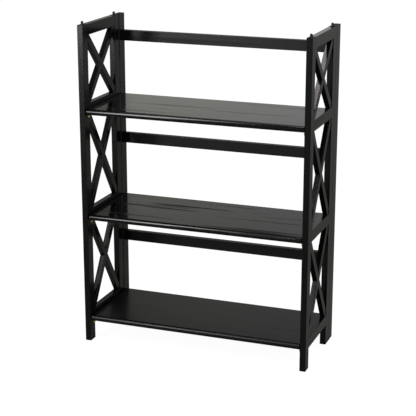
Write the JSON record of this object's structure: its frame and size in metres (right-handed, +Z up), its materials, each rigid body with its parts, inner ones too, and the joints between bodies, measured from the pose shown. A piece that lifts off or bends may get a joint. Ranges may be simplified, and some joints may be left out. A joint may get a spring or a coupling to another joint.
{
  "type": "folding bookcase",
  "caption": "Free-standing folding bookcase: shelves that lift on rear pivots, between hinged side frames with X braces, on an open back frame with rails.",
  "frame": {"origin": "on the floor, in the middle of the frame's width and depth", "axes": "+X to the right of someone facing the front, +Y from the open front to the back rails, +Z up"},
  "size_m": [0.6984, 0.2922, 0.9757],
  "materials": {
    "black_wood": "satin black stain and lacquer, fine grain along each piece",
    "black_steel": "satin black",
    "bright_steel": "drawn",
    "brass": "polished",
    "nylon": "matte black",
    "dowel_wood": "bare beech"
  },
  "bodies": {
    "back_frame": {"left_rear_post": "black_wood", "right_rear_post": "black_wood", "upper_back_rail": "black_wood", "middle_back_rail": "black_wood", "lower_back_rail": "black_wood", "back_rail_dowels": "dowel_wood", "shelf_pivot_pins": "bright_steel", "left_post_hinge_leaves": "black_steel", "left_post_leaf_screws": "black_steel", "left_hinge_pins": "black_steel", "right_post_hinge_leaves": "black_steel", "right_post_leaf_screws": "black_steel", "right_hinge_pins": "black_steel"},
    "left_side_frame": {"left_front_stile": "black_wood", "left_rear_stile": "black_wood", "left_top_rail": "black_wood", "left_upper_rail": "black_wood", "left_middle_rail": "black_wood", "left_lower_rail": "black_wood", "left_upper_brace_rising": "black_wood", "left_upper_brace_falling": "black_wood", "left_middle_brace_rising": "black_wood", "left_middle_brace_falling": "black_wood", "left_lower_brace_rising": "black_wood", "left_lower_brace_falling": "black_wood", "left_stacking_pins": "black_steel", "left_shelf_pegs": "brass", "left_frame_dowels": "dowel_wood", "left_frame_hinge_leaves": "black_steel", "left_frame_leaf_screws": "black_steel"},
    "right_side_frame": {"right_front_stile": "black_wood", "right_rear_stile": "black_wood", "right_top_rail": "black_wood", "right_upper_rail": "black_wood", "right_middle_rail": "black_wood", "right_lower_rail": "black_wood", "right_upper_brace_rising": "black_wood", "right_upper_brace_falling": "black_wood", "right_middle_brace_rising": "black_wood", "right_middle_brace_falling": "black_wood", "right_lower_brace_rising": "black_wood", "right_lower_brace_falling": "black_wood", "right_stacking_pins": "black_steel", "right_shelf_pegs": "brass", "right_frame_dowels": "dowel_wood", "right_frame_hinge_leaves": "black_steel", "right_frame_leaf_screws": "black_steel"},
    "upper_shelf_board": {"upper_shelf": "black_wood", "upper_shelf_bushes": "nylon"},
    "middle_shelf_board": {"middle_shelf": "black_wood", "middle_shelf_bushes": "nylon"},
    "lower_shelf_board": {"lower_shelf": "black_wood", "lower_shelf_bushes": "nylon"}
  },
  "joints": [
    {"name": "upper_shelf_lift", "type": "hinge", "parent": "back_frame", "child": "upper_shelf_board", "pos_m": [0, 0.11755, 0.7122], "axis": [-1, 0, 0], "range_deg": [0, 90]},
    {"name": "middle_shelf_lift", "type": "hinge", "parent": "back_frame", "child": "middle_shelf_board", "pos_m": [0, 0.11755, 0.392], "axis": [-1, 0, 0], "range_deg": [0, 90]},
    {"name": "lower_shelf_lift", "type": "hinge", "parent": "back_frame", "child": "lower_shelf_board", "pos_m": [0, 0.11755, 0.0718], "axis": [-1, 0, 0], "range_deg": [0, 90]},
    {"name": "left_frame_fold", "type": "hinge", "parent": "back_frame", "child": "left_side_frame", "pos_m": [-0.33425, 0.10475, 0.4826], "axis": [0, 0, 1], "range_deg": [0, 0.6]},
    {"name": "right_frame_fold", "type": "hinge", "parent": "back_frame", "child": "right_side_frame", "pos_m": [0.33425, 0.10475, 0.4826], "axis": [0, 0, -1], "range_deg": [0, 0.6]}
  ]
}
